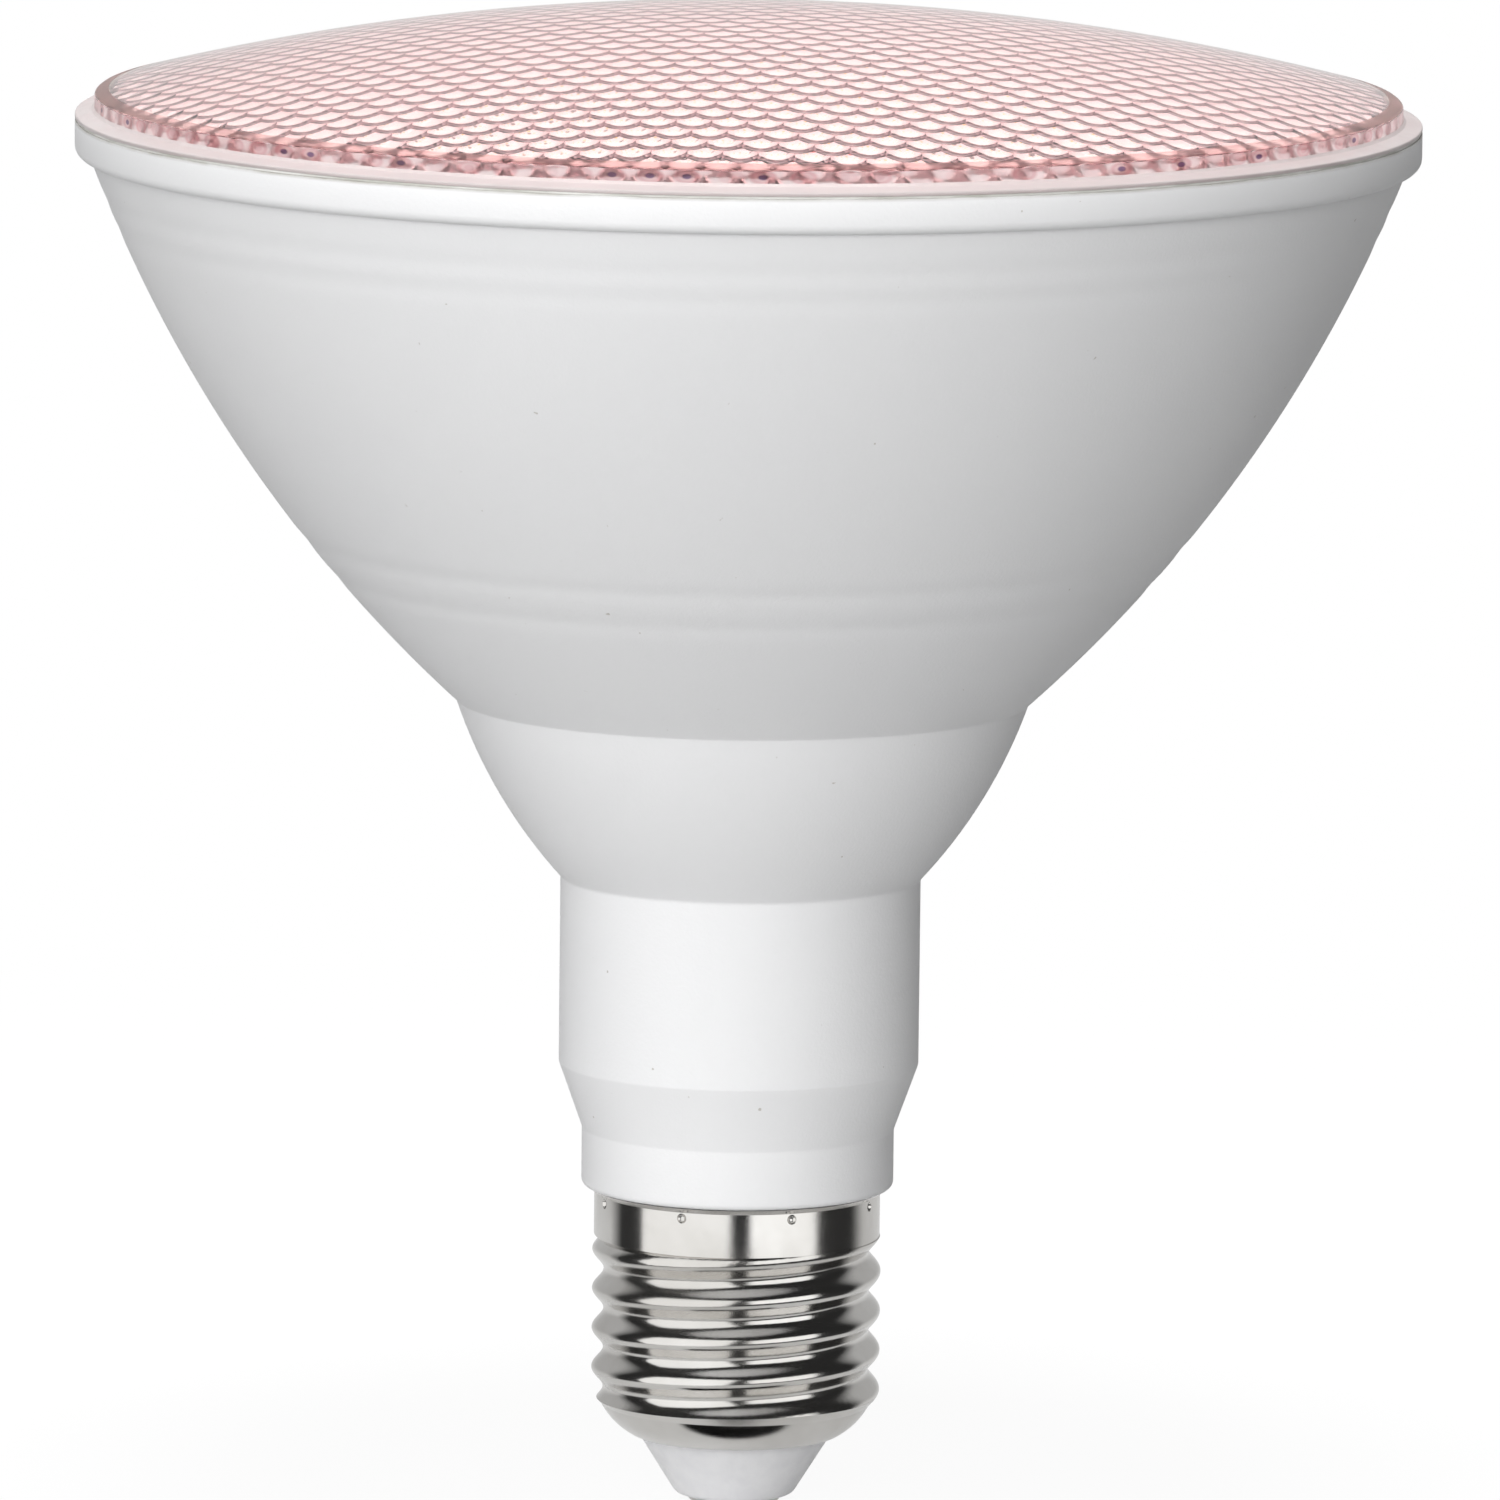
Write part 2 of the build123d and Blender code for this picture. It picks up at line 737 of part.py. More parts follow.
def make_transformer_bobbin():
    """Spool with two flanges, and the base under the core that its end walls carry."""
    lift, room = spool_room()
    flange = spool_size(bobbin_wall + winding_build)
    tube = block(*spool_size(bobbin_wall), room)
    plate = block(*flange, bobbin_wall)
    spool = tube + plate + Pos(0, 0, room - bobbin_wall) * plate
    spool = Pos(0, 0, lift) * (spool - block(*spool_size(0), room))
    base = block(core_width, flange[1], bobbin_base)
    cheek_depth = (flange[1] - core_depth) / 2 - bobbin_clearance
    cheek_place = (core_depth + cheek_depth) / 2 + bobbin_clearance
    cheek = block(flange[0], cheek_depth, lift + bobbin_wall)
    cheeks = [Pos(0, side * cheek_place, 0) * cheek for side in (-1, 1)]
    return on_front(transformer_place) * (base + spool + cheeks)


def make_transformer_winding():
    """Copper wound on the spool between its flanges."""
    lift, room = spool_room()
    height = room - 2 * bobbin_wall - 2 * bobbin_clearance
    outer = block(*spool_size(bobbin_wall + winding_build - bobbin_clearance), height)
    winding = fillet(outer.edges().filter_by(Axis.Z), winding_build)
    winding -= block(*spool_size(bobbin_wall + bobbin_clearance), height)
    return on_front(transformer_place) * Pos(0, 0, lift + bobbin_wall + bobbin_clearance) * winding


def flat_part(size, lead_rows):
    """Moulded flat package with its leads bent onto the board."""
    width, depth, height = size
    body = Pos(0, 0, flat_lead_height) * block(width, depth, height - flat_lead_height)
    lead = block(flat_lead_width, depth + 2 * flat_lead_reach, 2 * flat_lead_height)
    for number in range(lead_rows):
        body += Pos(width * ((number + 0.5) / lead_rows - 0.5), 0, 0) * lead
    return body


def make_bridge_rectifier():
    return on_back(rectifier_place) * flat_part(rectifier_size, 2)


def make_driver_ic():
    return on_back(ic_place) * flat_part(ic_size, 4)


def make_output_diode():
    return on_back(diode_place) * flat_part(diode_size, 1)


def make_chip_components():
    """Small chips in rows on the back of the board."""
    places = GridLocations(*chip_spacing, chip_columns, chip_rows)
    return Compound(children=[on_back(chip_place) * place * block(*chip_size) for place in places])


def wire(radius, bends, *points):
    """Round wire along straight runs joined by arcs."""
    path = FilletPolyline(*points, radius=bends)
    section = Plane(path @ 0, z_dir=path % 0) * Circle(radius)
    return sweep(section, path)


def make_live_wire():
    """Wire from the foot of the driver board to the rivet of the centre contact."""
    z_rivet = z_mouth + insulator_flange_height + contact_rivet_height
    z_slack = (z_board_foot + z_rivet) / 2
    start = (wire_spacing, wire_y, z_lower_collar)
    return wire(
        wire_radius,
        3 * wire_bend,
        start,
        (wire_spacing, wire_y, z_board_foot - wire_bend),
        (0, 0, z_slack),
        (0, 0, z_rivet),
    )


def make_neutral_wire():
    """Bare wire from the foot of the board, under the spigot and up between it and the screw shell."""
    z_turn = z_spigot - neutral_drop
    start_x = -foot_half_width / 2
    bare_y = -(board_face + bare_wire_radius + wire_gap)
    return wire(
        bare_wire_radius,
        wire_bend - bare_wire_radius,
        (start_x, bare_y, z_lower_collar),
        (start_x, bare_y, z_turn),
        (neutral_x(), wire_y, z_turn),
        (neutral_x(), wire_y, z_spigot + neutral_grip - wire_slot_clearance),
    )


def led_wire(side):
    """Wire from the driver board through the wire hole and over to its pad on the round board."""
    across = side * wire_spacing
    z_arch = z_led_face + arch_height
    pad = side * pad_reach
    return wire(
        wire_radius,
        wire_bend,
        (across, wire_y, z_board_top - board_headroom),
        (across, wire_y, z_arch),
        (pad, wire_y, z_arch),
        (pad, wire_y, z_led_face),
    )


def make_led_wire_positive():
    return led_wire(1)


def make_led_wire_negative():
    return led_wire(-1)


pieces = {
    "front_lens": make_front_lens,
    "lens_adhesive": make_lens_adhesive,
    "housing": make_housing,
    "screw_shell": make_screw_shell,
    "cap_insulator": make_cap_insulator,
    "centre_contact": make_centre_contact,
    "heat_sink_cup": make_heat_sink_cup,
    "led_board": make_led_board,
    "led_packages": make_led_packages,
    "board_screws": make_board_screws,
    "driver_board": make_driver_board,
    "bridge_rectifier": make_bridge_rectifier,
    "driver_ic": make_driver_ic,
    "output_diode": make_output_diode,
    "chip_components": make_chip_components,
    "fuse_resistor": make_fuse_resistor,
    "varistor": make_varistor,
    "film_capacitor": make_film_capacitor,
    "choke_core": make_choke_core,
    "choke_winding": make_choke_winding,
    "bulk_capacitor": make_bulk_capacitor,
    "output_capacitor": make_output_capacitor,
    "transformer_core": make_transformer_core,
    "transformer_bobbin": make_transformer_bobbin,
    "transformer_winding": make_transformer_winding,
    "live_wire": make_live_wire,
    "neutral_wire": make_neutral_wire,
    "led_wire_positive": make_led_wire_positive,
    "led_wire_negative": make_led_wire_negative,
}

os.makedirs("parts", exist_ok=True)
for name, make in pieces.items():
    export_step(make(), os.path.join("parts", name + ".step"))
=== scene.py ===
import math

import bmesh
import bpy
from mathutils import Matrix, Vector


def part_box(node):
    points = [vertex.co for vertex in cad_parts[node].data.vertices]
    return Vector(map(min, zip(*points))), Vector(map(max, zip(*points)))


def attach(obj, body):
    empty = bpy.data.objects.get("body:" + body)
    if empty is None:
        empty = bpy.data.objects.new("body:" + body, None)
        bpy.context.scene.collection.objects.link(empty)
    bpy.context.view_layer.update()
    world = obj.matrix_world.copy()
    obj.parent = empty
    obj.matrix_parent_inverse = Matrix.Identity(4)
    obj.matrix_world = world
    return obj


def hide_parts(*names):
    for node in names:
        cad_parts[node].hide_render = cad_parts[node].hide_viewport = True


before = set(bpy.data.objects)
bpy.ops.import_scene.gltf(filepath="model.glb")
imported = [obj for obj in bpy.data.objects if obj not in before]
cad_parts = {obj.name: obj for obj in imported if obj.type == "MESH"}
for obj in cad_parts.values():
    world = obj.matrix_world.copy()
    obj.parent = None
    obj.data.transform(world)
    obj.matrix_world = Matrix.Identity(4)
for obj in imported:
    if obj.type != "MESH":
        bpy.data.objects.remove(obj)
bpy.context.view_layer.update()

MM = 0.001
AXIS = Vector((0, 0, 1))
ORIGIN = Vector((0, 0, 0))

# Camera, at the height and distance that give the photograph's outline
camera_distance = 1428.2 * MM
camera_height = 282.7 * MM
camera_target_height = 68.94 * MM
camera_side_step = 0.73 * MM
camera_roll = math.radians(0.628)
camera_lens = 383.5
sensor_width = 36.0

# Studio: the floor shows its shadows up to one distance, and metal sees it up to another.
# A dark oval on it, in front of the cap, is seen only in the metal
floor_size = 3.0
pale_reach = 35.0 * MM
grey_start = 70.0 * MM
shadow_start = 80.0 * MM
shadow_reach = 0.3
table_reach = 0.03
patch_front = 14.0 * MM
patch_half_width = 11.0 * MM
patch_half_depth = 3.4 * MM
lamp_target = Vector((0, 0, 75.0 * MM))
ambient_level = 0.05
lens_surroundings = 0.9

# Front lens: its solid's box gives the apex, the foot of the plug and the rim
lens_low, lens_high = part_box("front_lens")
rim_radius = lens_high.x
lens_apex = lens_high.z
plug_foot = lens_low.z
flange_width = 1.75 * MM
lens_wall_radius = rim_radius - flange_width
dome_rise = 7.55 * MM
lens_thickness = 2.4 * MM
lens_edge_round = 0.3 * MM
lens_edge_turn = math.radians(76)
lens_edge_steps = 5
lens_wall_height = 1.45 * MM
flange_rise = 0.4 * MM
flange_edge = 0.35 * MM
plug_step = 0.75 * MM
plug_wall = 1.4 * MM
plug_radius = lens_wall_radius - plug_step
plug_inside = plug_radius - plug_wall
wall_top = lens_apex - dome_rise
wall_foot = wall_top - lens_wall_height
flange_corner = wall_foot - flange_rise
flange_foot = flange_corner - flange_edge
flange_inside = lens_wall_radius + 0.02 * MM
dome_radius = (lens_wall_radius**2 + dome_rise**2) / (2 * dome_rise)
dome_centre = lens_apex - dome_radius
inner_dome_radius = dome_radius - lens_thickness
border_width = 1.25 * MM
border_radius = lens_wall_radius - border_width
painted_oval_count = 112
lens_steps = 256
dome_rings = 36
lens_index = 1.53

# Lenslets inside the lens: a six-sided grid of small round crowns
lenslet_pitch = 3.09 * MM
lenslet_crown_radius = 2.3 * MM
lenslet_grid_turn = math.radians(-4.0)
lenslet_field_radius = plug_inside - 0.2 * MM
field_sides = 120
merge_distance = 0.004 * MM
cusp_angle = math.radians(36)
turned_edge_angle = math.radians(35)

# White housing: its solid's box gives the foot of the spigot, the top of the collar and its radius
housing_low, housing_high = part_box("housing")
spigot_foot = housing_low.z
collar_top = housing_high.z
collar_radius = housing_high.x
spigot_length = 3.3 * MM
spigot_floor = 1.6 * MM
lower_collar_height = 5.35 * MM
taper_height = 6.0 * MM
neck_length = 17.0 * MM
bowl_height = 16.2 * MM
collar_height = 3.2 * MM
collar_overhang = 1.3 * MM
glue_height = 0.5 * MM
plug_clearance = 0.15 * MM
base_height = spigot_foot + spigot_length
lower_collar_top = base_height + lower_collar_height
neck_foot = lower_collar_top + taper_height
neck_top = neck_foot + neck_length
bowl_top = neck_top + bowl_height
collar_foot = collar_top - collar_height
lens_seat = plug_foot - glue_height
spigot_radius = 12.61 * MM
spigot_inside = 11.01 * MM
lower_collar_radius = 14.15 * MM
neck_radius = 16.3 * MM
bowl_radius = 25.9 * MM
bell_radius = collar_radius - collar_overhang
collar_bore = plug_radius + plug_clearance
housing_wall = 1.8 * MM
bowl_bulge = 0.98 * MM
bell_bulge = 3.5 * MM
housing_steps = 256
bell_rings = 110
sink_width = 2.5 * MM
sink_rings = (
    (collar_foot - 3.7 * MM, 0.065 * MM),
    (collar_foot - 6.3 * MM, 0.065 * MM),
    (bowl_top + 14.8 * MM, 0.1 * MM),
    (bowl_top + 11.5 * MM, 0.1 * MM),
)

# Glue under the lens: a bead in the seat and a thin film in the seam above the collar
seam_foot = collar_top + 0.01 * MM
seam_top = collar_top + 0.19 * MM
seam_radius = collar_radius - 0.15 * MM


def dome_height(reach, radius):
    """Height of the lens's ball, or of its inside at a smaller radius, at a distance from the axis."""
    return dome_centre + math.sqrt(radius**2 - reach**2)


def to_mesh(name, bm):
    """Mesh of a bmesh, which is then freed."""
    mesh = bpy.data.meshes.new(name)
    bm.to_mesh(mesh)
    bm.free()
    return mesh


def add_piece(name, bm, material):
    """Makes an object of a finished bmesh, at the origin."""
    mesh = to_mesh(name, bm)
    mesh.materials.append(material)
    piece = bpy.data.objects.new(name, mesh)
    bpy.context.scene.collection.objects.link(piece)
    return piece


def spin_profile(bm, points, steps, closed=False):
    """Turns a half section, given as (radius, height) points, once round the axis."""
    verts = [bm.verts.new((radius, 0, height)) for radius, height in points]
    ends = verts[1:] + verts[:1] if closed else verts[1:]
    edges = [bm.edges.new(pair) for pair in zip(verts, ends)]
    bmesh.ops.spin(
        bm, geom=verts + edges, cent=ORIGIN, axis=AXIS, angle=2 * math.pi, steps=steps, use_merge=True
    )
    bmesh.ops.remove_doubles(bm, verts=bm.verts[:], dist=merge_distance)


def round_corner(before, corner, after, radius, count=5):
    """Points of the arc that rounds a corner of an outline."""
    corner = Vector(corner)
    back = (Vector(before) - corner).normalized()
    on = (Vector(after) - corner).normalized()
    half = back.angle(on) / 2
    middle = corner + (back + on).normalized() * radius / math.sin(half)
    first = corner + back * radius / math.tan(half) - middle
    turn = first.angle_signed(corner + on * radius / math.tan(half) - middle)
    points = []
    for number in range(count + 1):
        points.append(tuple(middle + Matrix.Rotation(-turn * number / count, 2) @ first))
    return points


def rounded_outline(points, rounds):
    """Closed outline with some of its corners rounded; rounds gives radii by corner."""
    outline = []
    for number, point in enumerate(points):
        if point in rounds:
            after = points[(number + 1) % len(points)]
            outline += round_corner(points[number - 1], point, after, rounds[point])
        else:
            outline.append(point)
    return outline


def shade(bm, sharp_angle):
    """Turns faces outwards and smooths them, with edges that are kept sharp above an angle."""
    bmesh.ops.recalc_face_normals(bm, faces=bm.faces[:])
    for face in bm.faces:
        face.smooth = True
    for edge in bm.edges:
        edge.smooth = edge.is_manifold and edge.calc_face_angle() < sharp_angle


def arc_points(start, end, bulge, count):
    """Points after start on the arc to end that stands out from the axis by a bulge."""
    chord = Vector(end) - Vector(start)
    half = chord.length / 2
    outward = Vector((chord.y, -chord.x)).normalized()
    radius = (half**2 + bulge**2) / (2 * bulge)
    centre = (Vector(start) + Vector(end)) / 2 - outward * (radius - bulge)
    sweep = 2 * math.asin(half / radius)
    first = Vector(start) - centre
    points = []
    for number in range(1, count + 1):
        angle = sweep * number / count
        turned = Matrix.Rotation(angle, 2) @ first
        points.append(tuple(centre + turned))
    return points


def sunk(point):
    """Point of the bell's outside, pressed in where a sink ring runs."""
    radius, height = point
    for ring_height, depth in sink_rings:
        away = abs(height - ring_height)
        if away < sink_width / 2:
            radius -= depth * (1 + math.cos(2 * math.pi * away / sink_width)) / 2
    return radius, height


def housing_profile():
    """Closed half section of the housing: up the outside, over the collar and down the inside."""
    neck_inside = neck_radius - housing_wall
    lower_inside = lower_collar_radius - housing_wall
    floor_top = base_height + spigot_floor
    base_corner = (lower_collar_radius, base_height)
    lower_crease = (lower_collar_radius, lower_collar_top)
    neck_corner = (neck_radius, neck_foot)
    bowl_foot = (neck_radius, neck_top)
    bell_foot = (bowl_radius, bowl_top)
    bell_head = (bell_radius, collar_foot)
    collar_corner = (collar_radius, collar_foot)
    collar_edge = (collar_radius, collar_top)
    inner_bell_head = (bell_radius - 1.12 * housing_wall, lens_seat)
    inner_bell_foot = (bowl_radius - 0.9 * housing_wall, bowl_top + 0.6 * housing_wall)
    inner_bowl_foot = (neck_inside, neck_top + 0.3 * housing_wall)
    bowl = arc_points(bowl_foot, bell_foot, bowl_bulge, 16)[:-1]
    bell = arc_points(bell_foot, bell_head, bell_bulge, bell_rings)[:-1]
    inner_bell = arc_points(inner_bell_foot, inner_bell_head, bell_bulge, 24)[:-1]
    inner_bowl = arc_points(inner_bowl_foot, inner_bell_foot, bowl_bulge, 6)[:-1]
    points = [(spigot_inside, spigot_foot), (spigot_radius, spigot_foot), (spigot_radius, base_height)]
    points += [base_corner, lower_crease, neck_corner, bowl_foot, *bowl, bell_foot]
    points += [sunk(point) for point in bell]
    points += [bell_head, collar_corner, collar_edge, (collar_bore, collar_top), (collar_bore, lens_seat)]
    points += [inner_bell_head, *reversed(inner_bell)]
    points += [inner_bell_foot, *reversed(inner_bowl), inner_bowl_foot]
    points += [(neck_inside, neck_foot), (lower_inside, lower_collar_top)]
    points += [(lower_inside, floor_top), (spigot_inside, floor_top)]
    rounds = {
        base_corner: 0.6 * MM,
        lower_crease: 0.8 * MM,
        neck_corner: 0.8 * MM,
        bowl_foot: 0.6 * MM,
        bell_foot: 0.6 * MM,
        collar_corner: 0.9 * MM,
        collar_edge: 0.12 * MM,
    }
    return rounded_outline(points, rounds)


def finish_piece(piece, node):
    """Hangs a piece on the root body and hides the CAD piece that it stands for."""
    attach(piece, "root")
    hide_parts(node)


def make_housing(material):
    """One white moulding: collar, bell, bowl, neck, taper, lower collar and spigot."""
    bm = bmesh.new()
    spin_profile(bm, housing_profile(), housing_steps, closed=True)
    shade(bm, turned_edge_angle)
    finish_piece(add_piece("white_housing", bm, material), "housing")


def make_glue(material):
    """Bead that holds the lens's plug, and the film that was pressed out into the seam."""
    bm = bmesh.new()
    for inner, outer, low, high in (
        (plug_inside, plug_radius, lens_seat, plug_foot),
        (collar_bore, seam_radius, seam_foot, seam_top),
    ):
        ring = bmesh.new()
        outline = [(inner, low), (outer, low), (outer, high), (inner, high)]
        spin_profile(ring, outline, lens_steps, closed=True)
        bm.from_mesh(to_mesh("glue_ring", ring))
    shade(bm, turned_edge_angle)
    finish_piece(add_piece("lens_glue", bm, material), "lens_adhesive")


def lenslet_sag(reach):
    """How far a lenslet's round face falls back at a distance from its own middle."""
    return lenslet_crown_radius - math.sqrt(lenslet_crown_radius**2 - reach**2)


def copy_along(bm, geometry, step, count):
    """Copies geometry count - 1 times, each a step further on; gives all of it."""
    everything = list(geometry)
    for number in range(1, count):
        copies = bmesh.ops.duplicate(bm, geom=geometry)["geom"]
        verts = [item for item in copies if isinstance(item, bmesh.types.BMVert)]
        bmesh.ops.translate(bm, verts=verts, vec=step * number)
        everything += copies
    return everything


def lenslet_field():
    """Square field of six-sided lenslets, each with its crown at the plane and its edges above it."""
    row_step = lenslet_pitch * math.sqrt(3) / 2
    columns = 2 * math.ceil(lenslet_field_radius / lenslet_pitch) + 3
    row_pairs = math.ceil(lenslet_field_radius / row_step) + 2
    bm = bmesh.new()
    bmesh.ops.create_circle(bm, cap_ends=True, segments=6, radius=lenslet_pitch / math.sqrt(3))
    bmesh.ops.poke(bm, faces=bm.faces[:])
    bmesh.ops.subdivide_edges(bm, edges=bm.edges[:], cuts=2, use_grid_fill=True)
    edge_share = bm.verts.layers.float.new("lenslet_edge")
    for vert in bm.verts:
        reach = vert.co.xy.length
        vert.co.z = lenslet_sag(reach)
        vert[edge_share] = reach * math.sqrt(3) / lenslet_pitch
    cell = bm.verts[:] + bm.edges[:] + bm.faces[:]
    pair = copy_along(bm, cell, Vector((lenslet_pitch / 2, row_step, 0)), 2)
    row = copy_along(bm, pair, Vector((lenslet_pitch, 0, 0)), columns)
    copy_along(bm, row, Vector((0, 2 * row_step, 0)), row_pairs)
    middle = Vector((columns // 2 * lenslet_pitch, 2 * (row_pairs // 2) * row_step, 0))
    bmesh.ops.translate(bm, verts=bm.verts[:], vec=-middle)
    turn = Matrix.Rotation(lenslet_grid_turn, 3, "Z")
    bmesh.ops.rotate(bm, verts=bm.verts[:], cent=ORIGIN, matrix=turn)
    return bm


def keep_ring(bm, inner, outer):
    """Deletes the faces whose middle isn't between two distances from the axis."""
    lost = []
    for face in bm.faces:
        if not inner <= face.calc_center_median().xy.length < outer:
            lost.append(face)
    bmesh.ops.delete(bm, geom=lost, context="FACES")


def trim_to_field(bm):
    """Cuts the outer lenslets off at the round edge of the field."""
    for number in range(field_sides):
        angle = 2 * math.pi * number / field_sides
        outward = Vector((math.cos(angle), math.sin(angle), 0))
        bmesh.ops.bisect_plane(
            bm,
            geom=bm.verts[:] + bm.edges[:] + bm.faces[:],
            dist=1e-7,
            plane_co=outward * lenslet_field_radius,
            plane_no=outward,
            clear_outer=True,
        )


def lens_profile():
    """Half section of the lens from the top of the plug's inside, down, round and up to the apex."""
    inner_edge = dome_height(plug_inside, inner_dome_radius)
    points = [
        (plug_inside, inner_edge),
        (plug_inside, plug_foot),
        (plug_radius, plug_foot),
        (plug_radius, flange_foot),
        (lens_wall_radius, flange_foot),
        (lens_wall_radius, wall_top - lens_edge_round),
    ]
    for number in range(1, lens_edge_steps):
        angle = lens_edge_turn * number / lens_edge_steps
        points.append((
            lens_wall_radius - lens_edge_round * (1 - math.cos(angle)),
            wall_top - lens_edge_round + lens_edge_round * math.sin(angle),
        ))
    start = lens_wall_radius - lens_edge_round
    for number in range(dome_rings + 1):
        reach = start * (1 - number / dome_rings)
        points.append((reach, dome_height(reach, dome_radius)))
    return points


def add_flange(bm):
    """Adds the flange on the collar as a closed ring close round the wall, with the second finish."""
    ring = bmesh.new()
    outline = [
        (flange_inside, flange_foot),
        (rim_radius, flange_foot),
        (rim_radius, flange_corner),
        (flange_inside + 0.25 * MM, wall_foot - 0.06 * MM),
        (flange_inside, wall_foot + 0.2 * MM),
    ]
    rounds = {outline[1]: 0.1 * MM, outline[2]: 0.15 * MM, outline[3]: 0.2 * MM}
    spin_profile(ring, rounded_outline(outline, rounds), lens_steps, closed=True)
    for face in ring.faces:
        face.material_index = 1
    bm.from_mesh(to_mesh("lens_flange", ring))


def make_lens(material, flange_material):
    """Clear dome with lenslets inside, a wall, a flange on the collar and a plug inside it."""
    inside = lenslet_field_radius - 0.5 * lenslet_pitch
    edge = lenslet_field()
    bm = edge.copy()
    keep_ring(edge, inside, lenslet_field_radius + lenslet_pitch)
    trim_to_field(edge)
    keep_ring(bm, 0, inside)
    bm.from_mesh(to_mesh("lenslet_edge", edge))
    bmesh.ops.remove_doubles(bm, verts=bm.verts[:], dist=merge_distance)
    middle_sag = lenslet_sag(lenslet_pitch / 2) / 2
    for vert in bm.verts:
        vert.co.z += dome_height(vert.co.xy.length, inner_dome_radius) - middle_sag
    shell = bmesh.new()
    spin_profile(shell, lens_profile(), lens_steps)
    bm.from_mesh(to_mesh("lens_shell", shell))
    bmesh.ops.bridge_loops(bm, edges=[edge for edge in bm.edges if edge.is_boundary])
    add_flange(bm)
    shade(bm, cusp_angle)
    piece = add_piece("front_lens_with_lenslets", bm, material)
    piece.data.materials.append(flange_material)
    finish_piece(piece, "front_lens")


def new_material(name):
    """A material with a bare Principled shader; gives the material, its nodes and the shader."""
    material = bpy.data.materials.new(name)
    material.use_nodes = True
    tree = material.node_tree
    return material, tree, tree.nodes["Principled BSDF"]


def add_node(tree, kind, values=None, **settings):
    """Adds a shader node with its settings and socket values."""
    made = tree.nodes.new("ShaderNode" + kind)
    for name, value in settings.items():
        setattr(made, name, value)
    for name, value in (values or {}).items():
        made.inputs[name].default_value = value
    return made


def combine(tree, operation, first, second):
    """Math over a socket and another socket or a number."""
    made = add_node(tree, "Math", operation=operation)
    tree.links.new(first, made.inputs[0])
    if isinstance(second, (int, float)):
        made.inputs[1].default_value = second
    else:
        tree.links.new(second, made.inputs[1])
    return made.outputs[0]


def ramp(tree, source, low, high, start=0.0, end=1.0):
    """Straight run from one value to another while the source goes from low to high."""
    made = add_node(tree, "MapRange", {"From Min": low, "From Max": high, "To Min": start, "To Max": end})
    tree.links.new(source, made.inputs["Value"])
    return made.outputs["Result"]


def mix_colours(tree, share, first, second):
    """Colour between two others, each a socket or three numbers."""
    made = add_node(tree, "Mix", data_type="RGBA")
    tree.links.new(share, made.inputs[0])
    for socket, colour in ((made.inputs[6], first), (made.inputs[7], second)):
        if isinstance(colour, tuple):
            socket.default_value = (*colour, 1)
        else:
            tree.links.new(colour, socket)
    return made.outputs[2]


def mix_shaders(tree, share, first, second):
    """Shader between two others."""
    made = add_node(tree, "MixShader")
    tree.links.new(share, made.inputs[0])
    tree.links.new(first, made.inputs[1])
    tree.links.new(second, made.inputs[2])
    return made.outputs[0]


def make_surface_group():
    """Shared unevenness of a surface: broad tone, fine grain and rare specks, squeezed along the axis."""
    group = bpy.data.node_groups.new("surface_unevenness", "ShaderNodeTree")
    for name, value in (("Scale", 200.0), ("Grain Scale", 3000.0), ("Squeeze", 1.0)):
        group.interface.new_socket(name, in_out="INPUT", socket_type="NodeSocketFloat").default_value = value
    for name in ("Tone", "Grain", "Specks"):
        group.interface.new_socket(name, in_out="OUTPUT", socket_type="NodeSocketFloat")
    given = group.nodes.new("NodeGroupInput")
    result = group.nodes.new("NodeGroupOutput")
    place = add_node(group, "TexCoord")
    factors = add_node(group, "CombineXYZ", {"X": 1, "Y": 1})
    group.links.new(given.outputs["Squeeze"], factors.inputs["Z"])
    squeezed = add_node(group, "VectorMath", operation="MULTIPLY")
    group.links.new(place.outputs["Object"], squeezed.inputs[0])
    group.links.new(factors.outputs["Vector"], squeezed.inputs[1])
    for name, scale, share, detail, low, high in (
        ("Tone", "Scale", 1, 4, 0.36, 0.64),
        ("Grain", "Grain Scale", 1, 2, 0.2, 0.8),
        ("Specks", "Grain Scale", 0.4, 1, 0.80, 0.83),
    ):
        noise = add_node(group, "TexNoise", {"Detail": detail, "Roughness": 0.55})
        group.links.new(squeezed.outputs["Vector"], noise.inputs["Vector"])
        group.links.new(both(group, given.outputs[scale], share), noise.inputs["Scale"])
        group.links.new(ramp(group, noise.outputs["Fac"], low, high), result.inputs[name])
    return group


def add_surface(tree, scale, grain_scale=3000.0, squeeze=1.0):
    """The shared unevenness as a node of a material."""
    made = tree.nodes.new("ShaderNodeGroup")
    made.node_tree = surface_group
    made.inputs["Scale"].default_value = scale
    made.inputs["Grain Scale"].default_value = grain_scale
    made.inputs["Squeeze"].default_value = squeeze
    return made


def add_bump(tree, shader, height, depth):
    """Relief of a depth in metres under a shader's light."""
    bump = add_node(tree, "Bump", {"Strength": 1.0, "Distance": depth})
    tree.links.new(height, bump.inputs["Height"])
    tree.links.new(bump.outputs["Normal"], shader.inputs["Normal"])


def uneven(name, light, dark, roughness, metallic=0.0, scale=200.0, depth=0.0, speck=None):
    """Finish between two colours and two roughnesses, with grain of a depth and specks of a colour."""
    material, tree, shader = new_material(name)
    surface = add_surface(tree, scale)
    colour = mix_colours(tree, surface.outputs["Tone"], light, dark)
    if speck:
        colour = mix_colours(tree, surface.outputs["Specks"], colour, speck)
    tree.links.new(colour, shader.inputs["Base Color"])
    rough = ramp(tree, surface.outputs["Tone"], 0, 1, *roughness)
    tree.links.new(rough, shader.inputs["Roughness"])
    shader.inputs["Metallic"].default_value = metallic
    if depth:
        add_bump(tree, shader, surface.outputs["Grain"], depth)
    return material, tree, shader, colour


def axis_height(tree):
    """Height above the foot of the lamp."""
    return place_parts(tree)[2]


